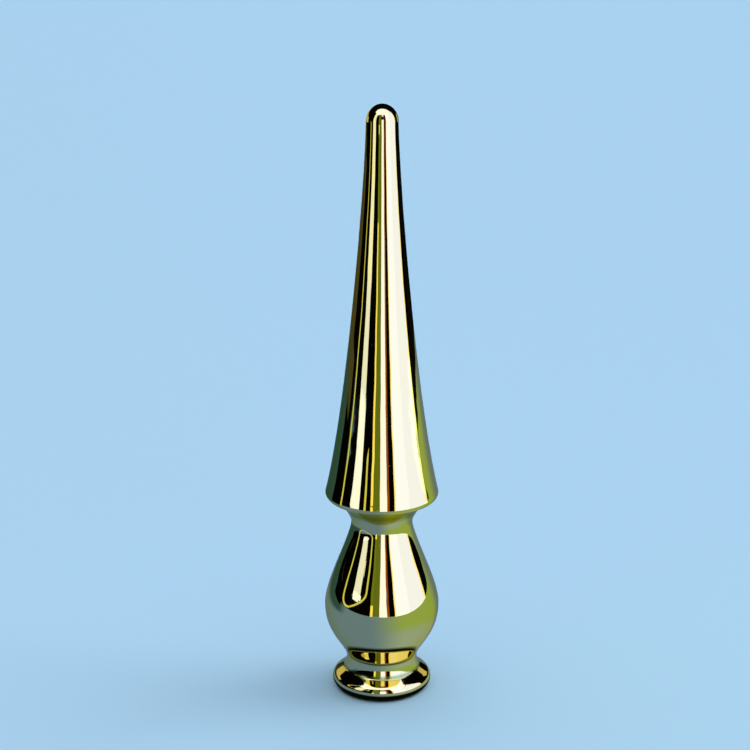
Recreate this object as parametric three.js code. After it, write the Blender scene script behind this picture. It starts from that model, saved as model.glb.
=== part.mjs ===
// Round-spear flagpole finial in polished brass, turned all round and made in one piece.
// Millimetres, +Z up along the turning axis, origin at the centre of the flat underside.
import * as THREE from 'three';

// Driving dimensions: overall height and the rings that can be measured with a caliper
const overallHeight = 203;
const footRadius = 16.7;
const footRoll = 2.8;
const ledgeTilt = 55;
const ledgeLength = 3.2;
const lowNeckRadius = 11.9;
const lowNeckHeight = 10.35;
const bulbRadius = 19.35;
const bulbHeight = 30.05;
const neckRadius = 10.3;
const neckHeight = 60.1;
const rimRadius = 18.95;
const rimHeight = 70.6;
const rimRoll = 1.7;
const tipRadius = 5.25;
const domeHeight = 5.6;

// How far each curve runs straight on from its end before it bends to the next
const coveRun = 0.25;
const lowNeckDown = 0.6;
const lowNeckUp = 5.05;
const bulbDown = 10.9;
const bulbUp = 7.6;
const neckDown = 5.35;
const neckUp = 1.95;
const underRimRun = 3.0;
const rimSlope = 0.239;
const rimRun = 27.6;
const tipSlope = 0.022;
const tipRun = 25.9;

// Blind hole for the stud of a pole, with a countersunk mouth and a drill point
const socketRadius = 6.35;
const socketDepth = 25;
const socketCountersink = 0.8;
const drillPoint = 3;

const sides = 64;

function at(radius, height) {
  return new THREE.Vector2(radius, height);
}

function straight(from, to) {
  return { curve: new THREE.LineCurve(from, to), steps: 1 };
}

function roll(centre, radius, startDegrees, endDegrees, steps) {
  const start = THREE.MathUtils.degToRad(startDegrees);
  const end = THREE.MathUtils.degToRad(endDegrees);
  const curve = new THREE.EllipseCurve(centre.x, centre.y, radius, radius, start, end, false);
  return { curve, steps };
}

function sweep(from, fromHandle, toHandle, to, steps) {
  return { curve: new THREE.CubicBezierCurve(from, fromHandle, toHandle, to), steps };
}

function endOf(stretch) {
  return stretch.curve.getPoint(1);
}

// Underside: from the drill point down the hole and out to the edge of the flat
function socketStretches() {
  const point = at(0, socketDepth + drillPoint);
  const roof = at(socketRadius, socketDepth);
  const mouth = at(socketRadius, socketCountersink);
  const lip = at(socketRadius + socketCountersink, 0);
  const edge = at(footRadius - footRoll, 0);
  return [straight(point, roof), straight(roof, mouth), straight(mouth, lip), straight(lip, edge)];
}

// Foot: a rolled edge, a ledge that slopes up from it, then a small cove to the low neck
function footStretches() {
  const edge = roll(at(footRadius - footRoll, footRoll), footRoll, -90, ledgeTilt, 9);
  const tilt = THREE.MathUtils.degToRad(ledgeTilt);
  const inward = at(-Math.sin(tilt), Math.cos(tilt));
  const ledgeFoot = endOf(edge);
  const ledgeTop = ledgeFoot.clone().addScaledVector(inward, ledgeLength);
  const coveHandle = ledgeTop.clone().addScaledVector(inward, coveRun);
  const neck = at(lowNeckRadius, lowNeckHeight);
  const cove = sweep(ledgeTop, coveHandle, at(neck.x, neck.y - lowNeckDown), neck, 5);
  return [edge, straight(ledgeFoot, ledgeTop), cove];
}

// Bulb: pear shaped, full below and drawn in to the neck above
function bulbStretches() {
  const low = at(lowNeckRadius, lowNeckHeight);
  const belly = at(bulbRadius, bulbHeight);
  const neck = at(neckRadius, neckHeight);
  return [
    sweep(low, at(low.x, low.y + lowNeckUp), at(belly.x, belly.y - bulbDown), belly, 9),
    sweep(belly, at(belly.x, belly.y + bulbUp), at(neck.x, neck.y - neckDown), neck, 10),
  ];
}

// Spear: the neck coves out under the rim, the rim rolls over, the long flank draws in to the tip
function spearStretches() {
  const neck = at(neckRadius, neckHeight);
  const rimCentre = at(rimRadius - rimRoll, rimHeight);
  const under = at(rimCentre.x, rimCentre.y - rimRoll);
  const cove = sweep(neck, at(neck.x, neck.y + neckUp), at(under.x - underRimRun, under.y), under, 6);
  const rimEnd = THREE.MathUtils.radToDeg(Math.atan(rimSlope));
  const rim = roll(rimCentre, rimRoll, -90, rimEnd, 6);
  const shoulder = at(tipRadius, overallHeight - domeHeight);
  const flankStart = endOf(rim);
  const flank = sweep(
    flankStart,
    at(flankStart.x - rimSlope * rimRun, flankStart.y + rimRun),
    at(shoulder.x + tipSlope * tipRun, shoulder.y - tipRun),
    shoulder,
    12,
  );
  const dome = new THREE.EllipseCurve(0, shoulder.y, tipRadius, domeHeight, 0, Math.PI / 2, false);
  return [cove, rim, flank, { curve: dome, steps: 6 }];
}

// One outline from the axis inside the hole round to the axis at the tip
function outline() {
  const stretches = [
    ...socketStretches(),
    ...footStretches(),
    ...bulbStretches(),
    ...spearStretches(),
  ];
  const points = [stretches[0].curve.getPoint(0)];
  for (const { curve, steps } of stretches) {
    points.push(...curve.getPoints(steps).slice(1));
  }
  points[points.length - 1].x = 0;
  return points;
}

const brass = new THREE.MeshStandardMaterial({ color: 0xd9b760, roughness: 0.08, metalness: 1 });

const turned = new THREE.LatheGeometry(outline(), sides);
turned.rotateX(Math.PI / 2);

const finial = new THREE.Mesh(turned, brass);
finial.name = 'finial';

const part = new THREE.Group();
part.add(finial);

export default part;
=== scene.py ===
import math

import bpy
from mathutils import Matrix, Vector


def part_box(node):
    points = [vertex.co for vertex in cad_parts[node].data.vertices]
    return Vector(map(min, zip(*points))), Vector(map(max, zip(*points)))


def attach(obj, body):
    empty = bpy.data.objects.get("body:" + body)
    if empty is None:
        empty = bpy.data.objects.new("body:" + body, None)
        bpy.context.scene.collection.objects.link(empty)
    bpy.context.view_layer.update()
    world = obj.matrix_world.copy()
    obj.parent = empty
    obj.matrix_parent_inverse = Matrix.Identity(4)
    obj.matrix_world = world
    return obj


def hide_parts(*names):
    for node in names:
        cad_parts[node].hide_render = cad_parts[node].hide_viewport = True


# Brass round-spear finial: the turned outline is drawn, spun and given its polish here.
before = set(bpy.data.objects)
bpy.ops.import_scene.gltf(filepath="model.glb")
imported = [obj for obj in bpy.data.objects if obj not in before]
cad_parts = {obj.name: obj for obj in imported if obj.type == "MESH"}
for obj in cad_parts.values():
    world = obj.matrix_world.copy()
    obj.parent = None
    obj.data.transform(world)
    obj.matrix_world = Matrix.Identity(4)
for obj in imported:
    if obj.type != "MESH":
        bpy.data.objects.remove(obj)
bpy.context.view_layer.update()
mm = 0.001
print("frame loaded with nodes", sorted(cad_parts))


def linearColour(hexCode):
    # sRGB hex to the linear colour that shaders take
    channels = [int(hexCode[i:i + 2], 16) / 255 for i in (1, 3, 5)]
    linear = [c / 12.92 if c <= 0.04045 else ((c + 0.055) / 1.055) ** 2.4 for c in channels]
    return (*linear, 1.0)


def addNode(tree, kind, settings=None, links=None):
    # settings name a socket, a socket number or a property; links name or number the socket they feed
    node = tree.nodes.new(kind)
    for key, value in (settings or {}).items():
        if isinstance(key, int) or key in node.inputs:
            node.inputs[key].default_value = value
        else:
            setattr(node, key, value)
    for key, source in (links or {}).items():
        tree.links.new(source, node.inputs[key])
    return node


def newMaterial(name):
    material = bpy.data.materials.new(name)
    material.use_nodes = True
    material.node_tree.nodes.clear()
    return material, material.node_tree


def placeRound(away, degrees, height):
    # a place round the axis, in degrees from the camera's side (right is plus)
    turn = math.radians(degrees)
    return (away * math.sin(turn), -away * math.cos(turn), height)


def drawChain(name, places):
    # one point drawn out from place to place; stays in edit mode with all of it selected
    bpy.ops.object.select_all(action="DESELECT")
    bpy.ops.mesh.primitive_plane_add(size=mm)
    chain = bpy.context.object
    chain.name = name
    bpy.ops.object.mode_set(mode="EDIT")
    bpy.ops.mesh.select_all(action="SELECT")
    bpy.ops.mesh.merge(type="CENTER")
    bpy.ops.transform.translate(value=places[0])
    for here, there in zip(places, places[1:]):
        step = tuple(b - a for a, b in zip(here, there))
        bpy.ops.mesh.extrude_vertices_move(TRANSFORM_OT_translate={"value": step})
    bpy.ops.mesh.select_all(action="SELECT")
    return chain


# camera, in mm and degrees, from the fit of the outline in the 750 px frame
photoCamera = {
    "distance": 800,        # in front of the axis
    "height": 394.2,        # above the foot
    "aside": -2.3,          # the axis stands a little right of the frame's middle
    "lookDown": 19.45,
    "lens": 123.7,
    "sensor": 36,
    "clipStart": 10,
}


def placeCamera(c):
    place = (c["aside"] * mm, -c["distance"] * mm, c["height"] * mm)
    turn = (math.radians(90 - c["lookDown"]), 0, 0)
    bpy.ops.object.camera_add(location=place, rotation=turn)
    camera = bpy.context.object
    camera.name = "photoCamera"
    camera.data.lens = c["lens"]
    camera.data.sensor_width = c["sensor"]
    camera.data.clip_start = c["clipStart"] * mm
    bpy.context.scene.camera = camera


bpy.ops.object.select_all(action="DESELECT")
placeCamera(photoCamera)
print("camera placed")

# finial sizes in mm; a run, an up or a down says how far a curve goes straight on from its end
finialLow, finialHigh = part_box("finial")
finialSizes = {
    "overallHeight": (finialHigh[2] - finialLow[2]) / mm,
    "footRadius": 16.7,
    "footRoll": 2.8,
    "ledgeTilt": 55,                # degrees the ledge above the roll faces up
    "ledgeLength": 3.2,
    "coveRun": 0.25,
    "lowNeck": (11.9, 10.35),       # radius, height
    "lowNeckDown": 0.6,
    "lowNeckUp": 5.05,
    "bulb": (19.35, 30.05),
    "bulbDown": 10.9,
    "bulbUp": 7.6,
    "neck": (10.3, 60.1),
    "neckDown": 5.35,
    "neckUp": 1.95,
    "underRimRun": 3.0,
    "rim": (18.95, 70.6),
    "rimRoll": 1.7,
    "rimSlope": 0.239,
    "rimRun": 27.6,
    "tipRadius": 5.25,
    "domeHeight": 5.6,
    "tipSlope": 0.022,
    "tipRun": 25.9,
    "socketRadius": 6.35,
    "socketDepth": 25,
    "socketCountersink": 0.8,
    "drillPoint": 3,
    "waveSize": 9,                  # hand buffing leaves swells about this long
    "waveDepth": 0.08,
    "waveDetail": 1,
    "mergeReach": 0.004,
    "smoothAngle": 30,              # degrees; sharper edges stay crisp
    "steps": {                      # for each stretch of the outline and for the turn round the axis
        "socketRoof": 6,
        "socketWall": 8,
        "countersink": 2,
        "underside": 6,
        "footRoll": 24,
        "ledge": 6,
        "cove": 14,
        "bulbBelow": 32,
        "bulbAbove": 40,
        "underRim": 20,
        "rimRoll": 20,
        "flank": 64,
        "dome": 22,
        "round": 288,
    },
}


def linePoints(start, end, steps):
    return [tuple(a + (b - a) * i / steps for a, b in zip(start, end)) for i in range(1, steps + 1)]


def rollPoints(centre, radii, startDegrees, endDegrees, steps):
    points = []
    for i in range(1, steps + 1):
        angle = math.radians(startDegrees + (endDegrees - startDegrees) * i / steps)
        points.append((centre[0] + radii[0] * math.cos(angle), centre[1] + radii[1] * math.sin(angle)))
    return points


def bendPoints(start, startHandle, endHandle, end, steps):
    points = []
    for i in range(1, steps + 1):
        t = i / steps
        weights = ((1 - t) ** 3, 3 * t * (1 - t) ** 2, 3 * t * t * (1 - t), t ** 3)
        corners = (start, startHandle, endHandle, end)
        points.append(tuple(sum(w * p[k] for w, p in zip(weights, corners)) for k in (0, 1)))
    return points


def socketOutline(s):
    # radius and height in mm, from the drill point down the hole and out to the edge of the flat
    steps = s["steps"]
    points = [(0.0, s["socketDepth"] + s["drillPoint"])]
    points += linePoints(points[-1], (s["socketRadius"], s["socketDepth"]), steps["socketRoof"])
    points += linePoints(points[-1], (s["socketRadius"], s["socketCountersink"]), steps["socketWall"])
    lip = (s["socketRadius"] + s["socketCountersink"], 0.0)
    points += linePoints(points[-1], lip, steps["countersink"])
    points += linePoints(lip, (s["footRadius"] - s["footRoll"], 0.0), steps["underside"])
    return points


def footOutline(s):
    # rolled edge, sloped ledge and the small cove to the low neck
    steps = s["steps"]
    footCentre = (s["footRadius"] - s["footRoll"], s["footRoll"])
    points = rollPoints(footCentre, (s["footRoll"], s["footRoll"]), -90, s["ledgeTilt"], steps["footRoll"])
    tilt = math.radians(s["ledgeTilt"])
    inward = (-math.sin(tilt), math.cos(tilt))
    ledgeTop = tuple(p + s["ledgeLength"] * d for p, d in zip(points[-1], inward))
    coveStart = tuple(p + s["coveRun"] * d for p, d in zip(ledgeTop, inward))
    points += linePoints(points[-1], ledgeTop, steps["ledge"])
    lowRadius, lowHeight = s["lowNeck"]
    coveEnd = (lowRadius, lowHeight - s["lowNeckDown"])
    points += bendPoints(ledgeTop, coveStart, coveEnd, s["lowNeck"], steps["cove"])
    return points


def bulbOutline(s):
    # pear shape, full below and drawn in to the neck
    steps = s["steps"]
    lowRadius, lowHeight = s["lowNeck"]
    bulbRadius, bulbHeight = s["bulb"]
    neckRadius, neckHeight = s["neck"]
    points = bendPoints(s["lowNeck"], (lowRadius, lowHeight + s["lowNeckUp"]),
                        (bulbRadius, bulbHeight - s["bulbDown"]), s["bulb"], steps["bulbBelow"])
    points += bendPoints(s["bulb"], (bulbRadius, bulbHeight + s["bulbUp"]),
                         (neckRadius, neckHeight - s["neckDown"]), s["neck"], steps["bulbAbove"])
    return points


def spearOutline(s):
    # cove under the rim, rolled rim, long flank and domed tip
    steps = s["steps"]
    neckRadius, neckHeight = s["neck"]
    rimRadius, rimHeight = s["rim"]
    rimCentre = (rimRadius - s["rimRoll"], rimHeight)
    under = (rimCentre[0], rimHeight - s["rimRoll"])
    points = bendPoints(s["neck"], (neckRadius, neckHeight + s["neckUp"]),
                        (under[0] - s["underRimRun"], under[1]), under, steps["underRim"])
    rimEnd = math.degrees(math.atan(s["rimSlope"]))
    points += rollPoints(rimCentre, (s["rimRoll"], s["rimRoll"]), -90, rimEnd, steps["rimRoll"])
    flankStart = points[-1]
    shoulder = (s["tipRadius"], s["overallHeight"] - s["domeHeight"])
    points += bendPoints(flankStart,
                         (flankStart[0] - s["rimSlope"] * s["rimRun"], flankStart[1] + s["rimRun"]),
                         (shoulder[0] + s["tipSlope"] * s["tipRun"], shoulder[1] - s["tipRun"]),
                         shoulder, steps["flank"])
    points += rollPoints((0.0, shoulder[1]), (s["tipRadius"], s["domeHeight"]), 0, 90, steps["dome"])
    return points


def buffSwells(piece, s):
    # slow swells left by the buffing wheel, cut inwards only so that the outline stays in its box
    swell = bpy.data.textures.new("buffSwell", "CLOUDS")
    swell.noise_scale = s["waveSize"] * mm
    swell.noise_depth = s["waveDetail"]
    modifier = piece.modifiers.new("buffSwells", "DISPLACE")
    modifier.texture = swell
    modifier.texture_coords = "LOCAL"
    modifier.mid_level = 1.0
    modifier.strength = s["waveDepth"] * mm
    bpy.ops.object.modifier_apply(modifier=modifier.name)


def turnFinial(s):
    outline = []
    for stretch in (socketOutline, footOutline, bulbOutline, spearOutline):
        outline += stretch(s)
    piece = drawChain("turnedFinial", [(radius * mm, 0, height * mm) for radius, height in outline])
    bpy.ops.mesh.spin(steps=s["steps"]["round"], angle=math.tau, center=(0, 0, 0), axis=(0, 0, 1))
    bpy.ops.mesh.select_all(action="SELECT")
    bpy.ops.mesh.remove_doubles(threshold=s["mergeReach"] * mm)
    bpy.ops.mesh.normals_make_consistent(inside=False)
    bpy.ops.object.mode_set(mode="OBJECT")
    buffSwells(piece, s)
    bpy.ops.object.shade_smooth_by_angle(angle=math.radians(s["smoothAngle"]))
    return piece


# polish of the finial
brassLook = {
    "brass": "#EFD878",
    "edge": "#F2E4A8",      # tone at a glancing angle, so that edges stay brass
    "tarnish": "#3C8426",   # green that is left where a cloth doesn't reach
    "tarnishRoughness": 0.25,
    "creases": ((7.3, 1.1), (65.4, 2.6)),   # mm, height and half width of the two that a cloth misses
    "roughness": 0.03,
    "hazeRoughness": 0.05,
    "hazeSize": 30,         # mm, patches of finger haze
    "hazeRange": (0.45, 0.8),
    "hazeDetail": 4,
    "lineSpacing": 0.4,     # mm, buffing lines; real ones are finer than a pixel and drawn coarser to show
    "lineReach": 18,        # mm that one line runs round
    "lineDepth": 0.0006,
    "lineDetail": 3,
    "pitSize": 3.4,         # mm between casting pits
    "pitRadius": 0.17,
    "pitDepth": 0.01,
}


def polishedBrass(look):
    # cast brass, turned and buffed to a mirror: sharp yellow-green reflections that deepen to gold
    # where metal sees metal, faint lines round the axis, haze from handling, green in the creases
    material, tree = newMaterial("polishedBrassBuffed")
    place = addNode(tree, "ShaderNodeTexCoord").outputs["Object"]
    height = addNode(tree, "ShaderNodeSeparateXYZ", links={"Vector": place}).outputs["Z"]

    haze = addNode(tree, "ShaderNodeTexNoise",
                   {"Scale": 1 / (look["hazeSize"] * mm), "Detail": look["hazeDetail"]},
                   {"Vector": place}).outputs["Fac"]
    crease = None
    for middle, halfWidth in look["creases"]:
        away = addNode(tree, "ShaderNodeMath", {"operation": "SUBTRACT", 1: middle * mm}, {0: height})
        away = addNode(tree, "ShaderNodeMath", {"operation": "ABSOLUTE"}, {0: away.outputs[0]})
        dark = addNode(tree, "ShaderNodeMapRange",
                       {"interpolation_type": "SMOOTHSTEP", "From Min": 0.0, "From Max": halfWidth * mm,
                        "To Min": 1.0, "To Max": 0.0}, {"Value": away.outputs[0]})
        if crease:
            dark = addNode(tree, "ShaderNodeMath", {"operation": "MAXIMUM"},
                           {0: crease.outputs[0], 1: dark.outputs[0]})
        crease = dark
    stain = addNode(tree, "ShaderNodeMath", {"operation": "MULTIPLY"},
                    {0: crease.outputs[0], 1: haze}).outputs[0]

    brass = linearColour(look["brass"])
    tarnish = linearColour(look["tarnish"])
    colour = addNode(tree, "ShaderNodeMix", {"data_type": "RGBA", 6: brass, 7: tarnish}, {"Factor": stain})

    hazeFrom, hazeTo = look["hazeRange"]
    rough = addNode(tree, "ShaderNodeMapRange",
                    {"From Min": hazeFrom, "From Max": hazeTo, "To Min": look["roughness"],
                     "To Max": look["roughness"] + look["hazeRoughness"]}, {"Value": haze})
    rough = addNode(tree, "ShaderNodeMath", {"operation": "MULTIPLY_ADD", 1: look["tarnishRoughness"]},
                    {0: stain, 2: rough.outputs[0]})

    reach = 1 / (look["lineReach"] * mm)
    lines = addNode(tree, "ShaderNodeMapping", {"Scale": (reach, reach, 1 / (look["lineSpacing"] * mm))},
                    {"Vector": place})
    lines = addNode(tree, "ShaderNodeTexNoise", {"Scale": 1.0, "Detail": look["lineDetail"]},
                    {"Vector": lines.outputs[0]})
    buffed = addNode(tree, "ShaderNodeBump", {"Strength": 1.0, "Distance": look["lineDepth"] * mm},
                     {"Height": lines.outputs["Fac"]})

    pits = addNode(tree, "ShaderNodeTexVoronoi", {"Scale": 1 / (look["pitSize"] * mm)}, {"Vector": place})
    pits = addNode(tree, "ShaderNodeMapRange",
                   {"From Min": 0.0, "From Max": look["pitRadius"] / look["pitSize"], "To Min": 0.0,
                    "To Max": 1.0}, {"Value": pits.outputs["Distance"]})
    pitted = addNode(tree, "ShaderNodeBump", {"Strength": 1.0, "Distance": look["pitDepth"] * mm},
                     {"Height": pits.outputs[0], "Normal": buffed.outputs[0]})

    shader = addNode(tree, "ShaderNodeBsdfPrincipled",
                     {"Metallic": 1.0, "Specular Tint": linearColour(look["edge"])},
                     {"Base Color": colour.outputs[2], "Roughness": rough.outputs[0],
                      "Normal": pitted.outputs[0]})
    addNode(tree, "ShaderNodeOutputMaterial", links={"Surface": shader.outputs[0]})
    return material


finial = turnFinial(finialSizes)
finial.data.materials.append(polishedBrass(brassLook))
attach(finial, "root")
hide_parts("finial")
print("finial turned:", len(finial.data.polygons), "faces")

# the paper floor that shows
floorLook = {
    "reach": 20,            # m
    "paper": "#A9D2EE",
    "roughness": 0.9,
    "gloss": 0.2,
    "grain": 0.6,           # mm, paper fibre
    "grainDepth": 0.02,
    "grainStrength": 0.15,
    "grainDetail": 2,
    "sides": 96,
}


def pressedPaper(look):
    # uncoated paper: flat pale blue with a hint of fibre
    material, tree = newMaterial("pressedPaper")
    place = addNode(tree, "ShaderNodeTexCoord").outputs["Object"]
    fibre = addNode(tree, "ShaderNodeTexNoise",
                    {"Scale": 1 / (look["grain"] * mm), "Detail": look["grainDetail"]}, {"Vector": place})
    bump = addNode(tree, "ShaderNodeBump",
                   {"Strength": look["grainStrength"], "Distance": look["grainDepth"] * mm},
                   {"Height": fibre.outputs["Fac"]})
    shader = addNode(tree, "ShaderNodeBsdfPrincipled",
                     {"Base Color": linearColour(look["paper"]), "Roughness": look["roughness"],
                      "Specular IOR Level": look["gloss"]},
                     {"Normal": bump.outputs[0]})
    addNode(tree, "ShaderNodeOutputMaterial", links={"Surface": shader.outputs[0]})
    return material


# the paper that only the polish sees, with its light and shade painted into its tones: a Reach is m from
# the axis, a Turn degrees round from the camera (right is plus), and each pair says where one tone starts
# to give way and where it has gone
polishLook = {
    "reach": 6,             # m
    "sides": 96,
    "lift": 0.01,           # mm above the floor
    "glow": 1.3,
    "shadeTone": "#060809",         # painted contact shadow where the foot meets the paper
    # reach of the painted contact shadow, in m from the axis
    "shadeReach": (0.0185, 0.0225),
    # painted light: less light on the paper at the left than at the right
    "leftTone": "#5E7FDC",
    # painted shade: the paper darker far off at the left
    "farLeftTone": "#2A4C74",
    "farLeftReach": (0.11, 0.2),
    "farLeftTurn": (-70, -95),
    "farLeftEndTurn": (-178, -150),
    "rightTone": "#8AA6E2",
    "rightTurn": (-25, 48),
    # painted light: brighter paper at the right, which the brass turns green
    "greenTone": "#86A87B",
    "greenReach": (0.035, 0.075),
    "backTone": "#6480D8",
    "backTurn": (112, 140),
}


def paperWithPaintedLight(look):
    # dyed blue paper whose light and shade are painted in and given as glow, not lit: blue that brass turns
    # grey at the left and behind, where less light is painted, green at the right, where brighter light is
    # painted, darker far off at the left as painted shade, and a painted contact shadow, black where the
    # foot meets it
    material, tree = newMaterial("paperWithPaintedLight")
    place = addNode(tree, "ShaderNodeTexCoord").outputs["Object"]
    axes = addNode(tree, "ShaderNodeSeparateXYZ", links={"Vector": place}).outputs
    out = addNode(tree, "ShaderNodeVectorMath", {"operation": "LENGTH"}, {0: place}).outputs["Value"]
    forward = addNode(tree, "ShaderNodeMath", {"operation": "MULTIPLY", 1: -1.0}, {0: axes["Y"]}).outputs[0]
    turn = addNode(tree, "ShaderNodeMath", {"operation": "ARCTAN2"}, {0: axes["X"], 1: forward}).outputs[0]
    turn = addNode(tree, "ShaderNodeMath", {"operation": "DEGREES"}, {0: turn}).outputs[0]

    # each row names the tone it makes, the fades that lead to it, and the tones it leads from and to
    rows = (
        ("left", ("farLeftReach", "farLeftTurn", "farLeftEndTurn"), "leftTone", "farLeftTone"),
        ("right", ("greenReach",), "rightTone", "greenTone"),
        ("rightAndBack", ("backTurn",), "right", "backTone"),
        ("paper", ("rightTurn",), "left", "rightAndBack"),
        ("shadedPaper", ("shadeReach",), "shadeTone", "paper"),
    )
    mixed = {}
    for name, fades, first, second in rows:
        factor = None
        for fadeName in fades:
            start, end = look[fadeName]
            fade = addNode(tree, "ShaderNodeMapRange",
                           {"interpolation_type": "SMOOTHSTEP", "From Min": start, "From Max": end},
                           {"Value": out if fadeName.endswith("Reach") else turn})
            if factor:
                fade = addNode(tree, "ShaderNodeMath", {"operation": "MULTIPLY"},
                               {0: factor.outputs[0], 1: fade.outputs[0]})
            factor = fade
        settings = {"data_type": "RGBA"}
        links = {"Factor": factor.outputs[0]}
        for socket, tone in ((6, first), (7, second)):
            if tone in mixed:
                links[socket] = mixed[tone]
            else:
                settings[socket] = linearColour(look[tone])
        mixed[name] = addNode(tree, "ShaderNodeMix", settings, links).outputs[2]

    # painted light: the paper glows with these tones instead of being lit by the lamps
    glow = addNode(tree, "ShaderNodeEmission", {"Strength": look["glow"]}, {"Color": mixed["shadedPaper"]})
    addNode(tree, "ShaderNodeOutputMaterial", links={"Surface": glow.outputs[0]})
    return material


def glowCloth(name, hexCode):
    # cloth, paper or lamp glass with an even tone and no sheen, which the polish mirrors as a flat patch;
    # cloth and paper glow with this tone as painted light, in place of being lit
    material, tree = newMaterial(name)
    glow = addNode(tree, "ShaderNodeEmission", {"Color": linearColour(hexCode)})
    addNode(tree, "ShaderNodeOutputMaterial", links={"Surface": glow.outputs[0]})
    return material


def seenOnlyInPolish(thing, material):
    thing.data.materials.append(material)
    thing.visible_camera = False
    thing.visible_diffuse = False
    thing.visible_shadow = False
    thing.visible_transmission = False


def layRound(name, reach, sides, height):
    bpy.ops.object.select_all(action="DESELECT")
    bpy.ops.mesh.primitive_circle_add(vertices=sides, radius=reach, fill_type="NGON",
                                      location=(0, 0, height))
    bpy.ops.object.transform_apply(location=True)
    bpy.context.object.name = name
    return bpy.context.object


def layFloors(look, polish):
    floor = layRound("paperFloor", look["reach"], look["sides"], 0)
    floor.data.materials.append(pressedPaper(look))
    polishFloor = layRound("polishFloor", polish["reach"], polish["sides"], polish["lift"] * mm)
    seenOnlyInPolish(polishFloor, paperWithPaintedLight(polish))


# cloth and card round the finial, seen only in the polish: degrees round from the camera, then m away
# and m above the floor at the lower or inner edge and at the other one
cloths = {
    "roundDrape": {"turn": (-180, 180), "away": (0.66, 0.66), "rise": (0, 0.9), "cloth": "blackDrape"},
    "leftDrape": {"turn": (-116, -90), "away": (0.36, 0.36), "rise": (0, 0.9), "cloth": "blackDrape"},
    "rightDrape": {"turn": (101.5, 119), "away": (0.36, 0.36), "rise": (0.027, 0.9), "cloth": "blackDrape"},
    "leftSkirt": {"turn": (-180, -101), "away": (0.27, 0.65), "rise": (0.05, 0.05), "cloth": "brownPaper"},
    "rightSkirt": {"turn": (101, 180), "away": (0.27, 0.65), "rise": (0.05, 0.05), "cloth": "blackPaper"},
    "cameraCard": {"turn": (-8, 10), "away": (0.48, 0.48), "rise": (0.36, 0.6), "cloth": "brownCard"},
}
# painted light: each cloth, paper and card glows with its tone instead of being lit
clothTones = {
    "blackDrape": "#030303",
    "brownPaper": "#4A4A42",
    "blackPaper": "#0C0C0C",
    "brownCard": "#1E0F06",
}
clothSteps = 48


def hangCloth(name, c, material):
    # part of an upright tube or a flat ring; spin turns clockwise, so the angle is minus
    start, end = c["turn"]
    edges = [placeRound(away, start, height) for away, height in zip(c["away"], c["rise"])]
    cloth = drawChain(name, edges)
    bpy.ops.mesh.spin(steps=clothSteps, angle=-math.radians(end - start), center=(0, 0, 0), axis=(0, 0, 1))
    bpy.ops.object.mode_set(mode="OBJECT")
    seenOnlyInPolish(cloth, material)


# bent lamp at the left, drawn as a hook: degrees round and m above the floor
hookLamp = {
    "away": 0.11,
    "left": -84,
    "top": 0.2,
    "leftSteps": 6,
    "leftBend": (0.045, 0.03),      # where the left side starts to bend, and the pull of the bend
    "footPull": (-74, 0.029),
    "foot": (-65, 0.0315),
    "footSteps": 10,
    "rise": (-40, 0.048),           # the foot climbs to here, then turns up the right side
    "riseSteps": 8,
    "rightPull": (-34, 0.0535),
    "right": -29.8,
    "rightBend": (0.057, 0.066),    # the pull of that bend, and where the right side is upright
    "bendSteps": 8,
    "rightTop": 0.084,
    "rightSteps": 3,
    "middle": (-57, 0.06),
    "narrow": 0.86,                 # inner edge against the outer one
    "tone": "#DCE89A",
}


def hookPoints(h):
    left, right = h["left"], h["right"]
    bendPull, bendTop = [(right, height) for height in h["rightBend"]]
    points = [(left, h["top"])]
    points += linePoints(points[-1], (left, h["leftBend"][0]), h["leftSteps"])
    points += bendPoints(points[-1], (left, h["leftBend"][1]), h["footPull"], h["foot"], h["footSteps"])
    points += linePoints(points[-1], h["rise"], h["riseSteps"])
    points += bendPoints(points[-1], h["rightPull"], bendPull, bendTop, h["bendSteps"])
    points += linePoints(points[-1], (right, h["rightTop"]), h["rightSteps"])
    return points


def hangHook(h):
    hook = drawChain("hookLamp", [placeRound(h["away"], turn, height) for turn, height in hookPoints(h)])
    bpy.ops.mesh.extrude_edges_move()
    bpy.ops.transform.resize(value=(h["narrow"],) * 3, center_override=placeRound(h["away"], *h["middle"]))
    bpy.ops.object.mode_set(mode="OBJECT")
    seenOnlyInPolish(hook, glowCloth("hookGlow", h["tone"]))


layFloors(floorLook, polishLook)
clothMaterials = {name: glowCloth(name, tone) for name, tone in clothTones.items()}
for clothName, cloth in cloths.items():
    hangCloth(clothName, cloth, clothMaterials[cloth["cloth"]])
hangHook(hookLamp)
print("stage laid:", len(cloths), "cloths")

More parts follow.
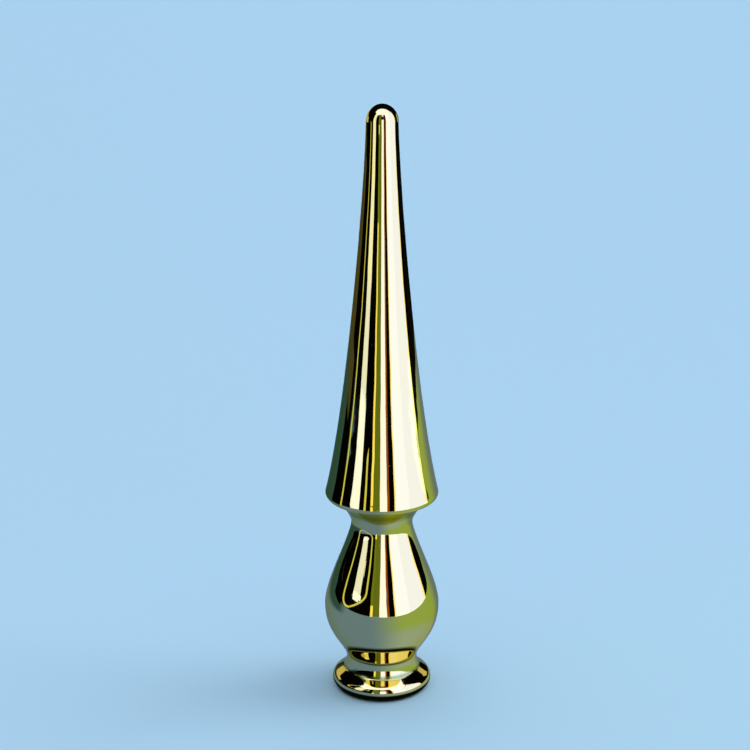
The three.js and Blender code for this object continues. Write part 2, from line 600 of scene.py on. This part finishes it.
# softboxes for the polish: degrees round from the camera (right is plus), m away, m above the floor
fullRise = (0.004, 0.8)
softboxes = {
    "panelNear": {"turn": (28, 56), "away": 0.5, "rise": fullRise, "tone": "#8B99FF", "glow": 3.5},
    "panelFar": {"turn": (56, 97), "away": 0.5, "rise": fullRise, "tone": "#8B99FF", "glow": 3.25},
    "panelNearEdge": {"turn": (25, 28), "away": 0.5, "rise": fullRise, "tone": "#FFFDF6", "glow": 1.0},
    "panelFarEdge": {"turn": (97, 101), "away": 0.5, "rise": fullRise, "tone": "#FFFDF6", "glow": 1.0},
    "slimFront": {"turn": (-4, 10), "away": 0.5, "rise": fullRise, "tone": "#99A5FF", "glow": 2.92},
    "brownEdge": {"turn": (10.5, 14.5), "away": 0.52, "rise": fullRise, "tone": "#C8701C", "glow": 0.45},
    "oliveFront": {"turn": (-18, -4.5), "away": 0.52, "rise": fullRise, "tone": "#D5FF6E", "glow": 0.16},
    "yellowFront": {"turn": (-23, -18), "away": 0.52, "rise": (0.004, 0.1), "tone": "#F4F0A8", "glow": 1.0},
    "oliveHigh": {"turn": (-23, -18), "away": 0.52, "rise": (0.1, 0.8), "tone": "#D5FF6E", "glow": 0.2},
    "stripHigh": {"turn": (-65, -45), "away": 0.25, "rise": (0.112, 0.5), "tone": "#C0CCFF", "glow": 1.6},
    "stripMiddle": {"turn": (-64, -47), "away": 0.25, "rise": (0.079, 0.112), "tone": "#A6B4FF", "glow": 2},
    "stripLow": {"turn": (-64, -45), "away": 0.25, "rise": (0.065, 0.079), "tone": "#9CAAFF", "glow": 2.8},
    "stripFoot": {"turn": (-63, -50), "away": 0.25, "rise": (0.059, 0.065), "tone": "#9CAAFF", "glow": 2.8},
    "backLeft": {"turn": (-175, -117), "away": 0.45, "rise": (0.1, 0.24), "tone": "#E8E4D0", "glow": 0.6},
    "backRight": {"turn": (132, 146), "away": 0.45, "rise": (0.1, 0.24), "tone": "#E8E4D0", "glow": 0.6},
}
topPanel = {"across": 1.0, "front": 0.5, "back": 0.07, "above": 0.82, "tone": "#99A5FF", "glow": 3.0}
wattsPerGlow = 4       # for each square metre of a panel that looks as bright as white
# light for the paper only: an even sky, and a key from the right for the shadow
paperLights = {
    "skyFill": {"strength": 2.6, "spread": 100, "turn": (-12, 0, 0)},
    "keyRight": {"strength": 1.0, "spread": 40, "turn": (-8, 52, 0)},
}
backdrop = {"seen": "#B4D5EC", "dim": "#05070A"}


def hangPanel(name, look, place, turn, across, tall):
    bpy.ops.object.light_add(type="AREA", location=place, rotation=turn)
    lamp = bpy.context.object
    lamp.name = name
    lamp.data.shape = "RECTANGLE"
    lamp.data.size = across
    lamp.data.size_y = tall
    lamp.data.color = linearColour(look["tone"])[:3]
    lamp.data.energy = wattsPerGlow * across * tall * look["glow"]
    lamp.visible_camera = False
    lamp.visible_diffuse = False


def hangSoftbox(name, box):
    start, end = box["turn"]
    low, high = box["rise"]
    middle = (start + end) / 2
    across = 2 * box["away"] * math.tan(math.radians((end - start) / 2))
    place = placeRound(box["away"], middle, (low + high) / 2)
    hangPanel(name, box, place, (math.radians(90), 0, math.radians(middle)), across, high - low)


def hangTopPanel(top):
    place = (0, (top["back"] - top["front"]) / 2, top["above"])
    hangPanel("topPanel", top, place, (0, 0, 0), top["across"], top["front"] + top["back"])


def lightPaper(name, light):
    turn = [math.radians(a) for a in light["turn"]]
    bpy.ops.object.light_add(type="SUN", rotation=turn)
    lamp = bpy.context.object
    lamp.name = name
    lamp.data.energy = light["strength"]
    lamp.data.angle = math.radians(light["spread"])
    lamp.visible_glossy = False


def paintBackdrop(tones):
    # pale behind the floor, nearly black to the polish
    world = bpy.data.worlds.new("plainBackdrop")
    world.use_nodes = True
    bpy.context.scene.world = world
    tree = world.node_tree
    tree.nodes.clear()
    seen = addNode(tree, "ShaderNodeLightPath").outputs["Is Camera Ray"]
    dim = addNode(tree, "ShaderNodeBackground", {"Color": linearColour(tones["dim"])})
    pale = addNode(tree, "ShaderNodeBackground", {"Color": linearColour(tones["seen"])})
    mixed = addNode(tree, "ShaderNodeMixShader", links={0: seen, 1: dim.outputs[0], 2: pale.outputs[0]})
    addNode(tree, "ShaderNodeOutputWorld", links={"Surface": mixed.outputs[0]})


bpy.ops.object.select_all(action="DESELECT")
for boxName, box in softboxes.items():
    hangSoftbox(boxName, box)
hangTopPanel(topPanel)
for lightName, light in paperLights.items():
    lightPaper(lightName, light)
paintBackdrop(backdrop)
bpy.context.scene.view_settings.view_transform = "Standard"
print("lights hung:", len(softboxes) + 1 + len(paperLights))
